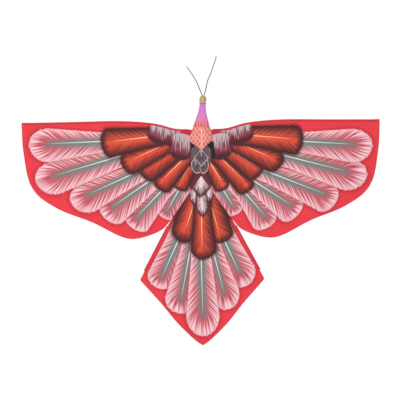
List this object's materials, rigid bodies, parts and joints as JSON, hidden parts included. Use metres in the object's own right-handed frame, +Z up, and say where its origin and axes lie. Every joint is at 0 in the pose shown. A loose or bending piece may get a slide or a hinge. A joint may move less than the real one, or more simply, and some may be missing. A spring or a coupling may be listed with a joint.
{
  "type": "delta kite",
  "caption": "Bird-shaped delta kite of painted cloth: wings and fan tail on bamboo sticks joined by flexible tubes, with a stuffed neck, padded breast and thin feelers.",
  "frame": {"origin": "tow point, in the middle of the cloth where the wing sticks cross the spine", "axes": "+Z up the spine towards the head, +Y backwards from the painted face to the sticks, +X towards the wing on the right of someone facing the painted side"},
  "size_m": [1.504, 0.0701, 1.2122],
  "materials": {
    "red_cloth": "painted woven nylon, matt",
    "red_hem": "woven nylon hem, matt",
    "breast_cloth": "painted padded cloth, matt",
    "neck_cloth": "painted padded cloth, matt",
    "stuffing": "loose fibre filling",
    "bamboo": "split and whittled bamboo",
    "rubber_tube": "black flexible tube",
    "thread": "waxed thread",
    "gold_paint": "gold-painted wooden bead",
    "feeler_reed": "dark red painted split reed"
  },
  "bodies": {
    "body": {"breast_pad": "breast_cloth", "centre_sail": "red_cloth", "head_bead": "gold_paint", "hub_lashing": "thread", "hub_stick": "bamboo", "neck_binding": "thread", "neck_cover": "neck_cloth", "neck_dowel": "bamboo", "neck_stuffing": "stuffing", "spine_tie_1": "thread", "spine_tie_2": "thread", "spine_tube_upper": "rubber_tube", "spine_upper": "bamboo", "stay_lashing": "thread", "stay_tube_upper_left": "rubber_tube", "stay_tube_upper_right": "rubber_tube", "tail_stay_left": "bamboo", "tail_stay_right": "bamboo", "wing_tube_inner_left": "rubber_tube", "wing_tube_inner_right": "rubber_tube"},
    "wing_left": {"wing_sail_left": "red_cloth", "leading_sleeve_left": "red_hem", "leading_batten_left": "bamboo", "leading_tip_pocket_left": "red_hem", "cross_spar_left": "bamboo", "wing_tube_outer_left": "rubber_tube", "spar_cap_left": "rubber_tube", "tip_tie_left": "thread"},
    "wing_right": {"wing_sail_right": "red_cloth", "leading_sleeve_right": "red_hem", "leading_batten_right": "bamboo", "leading_tip_pocket_right": "red_hem", "cross_spar_right": "bamboo", "wing_tube_outer_right": "rubber_tube", "spar_cap_right": "rubber_tube", "tip_tie_right": "thread"},
    "tail": {"tail_sail": "red_cloth", "spine_lower": "bamboo", "spine_tube_lower": "rubber_tube", "tail_tip_pocket": "red_hem", "spine_tie_3": "thread", "tail_spar_left": "bamboo", "stay_tube_lower_left": "rubber_tube", "tail_corner_pocket_left": "red_hem", "tail_hem_left": "red_hem", "tail_spar_right": "bamboo", "stay_tube_lower_right": "rubber_tube", "tail_corner_pocket_right": "red_hem", "tail_hem_right": "red_hem"},
    "feeler_left": {"feeler_left": "feeler_reed"},
    "feeler_right": {"feeler_right": "feeler_reed"}
  },
  "joints": [
    {"name": "wing_fold_left", "type": "hinge", "parent": "body", "child": "wing_left", "pos_m": [-0.05916, 0.0105, 0], "axis": [-0.2137, 0, -0.9769], "range_deg": [-5, 65], "stiffness_Nm_per_rad": 0.5},
    {"name": "wing_fold_right", "type": "hinge", "parent": "body", "child": "wing_right", "pos_m": [0.05916, 0.0105, 0], "axis": [-0.2137, 0, 0.9769], "range_deg": [-5, 65], "stiffness_Nm_per_rad": 0.5},
    {"name": "tail_fold", "type": "hinge", "parent": "body", "child": "tail", "pos_m": [0, 0.00495, -0.333], "axis": [1, 0, 0], "range_deg": [-8, 30], "stiffness_Nm_per_rad": 0.3},
    {"name": "feeler_bend_left", "type": "hinge", "parent": "body", "child": "feeler_left", "pos_m": [0.00927, 0, 0.18707], "axis": [0, 1, 0], "range_deg": [-15, 15], "stiffness_Nm_per_rad": 0.02},
    {"name": "feeler_bend_right", "type": "hinge", "parent": "body", "child": "feeler_right", "pos_m": [0.01366, 0, 0.18679], "axis": [0, 1, 0], "range_deg": [-15, 15], "stiffness_Nm_per_rad": 0.02}
  ]
}
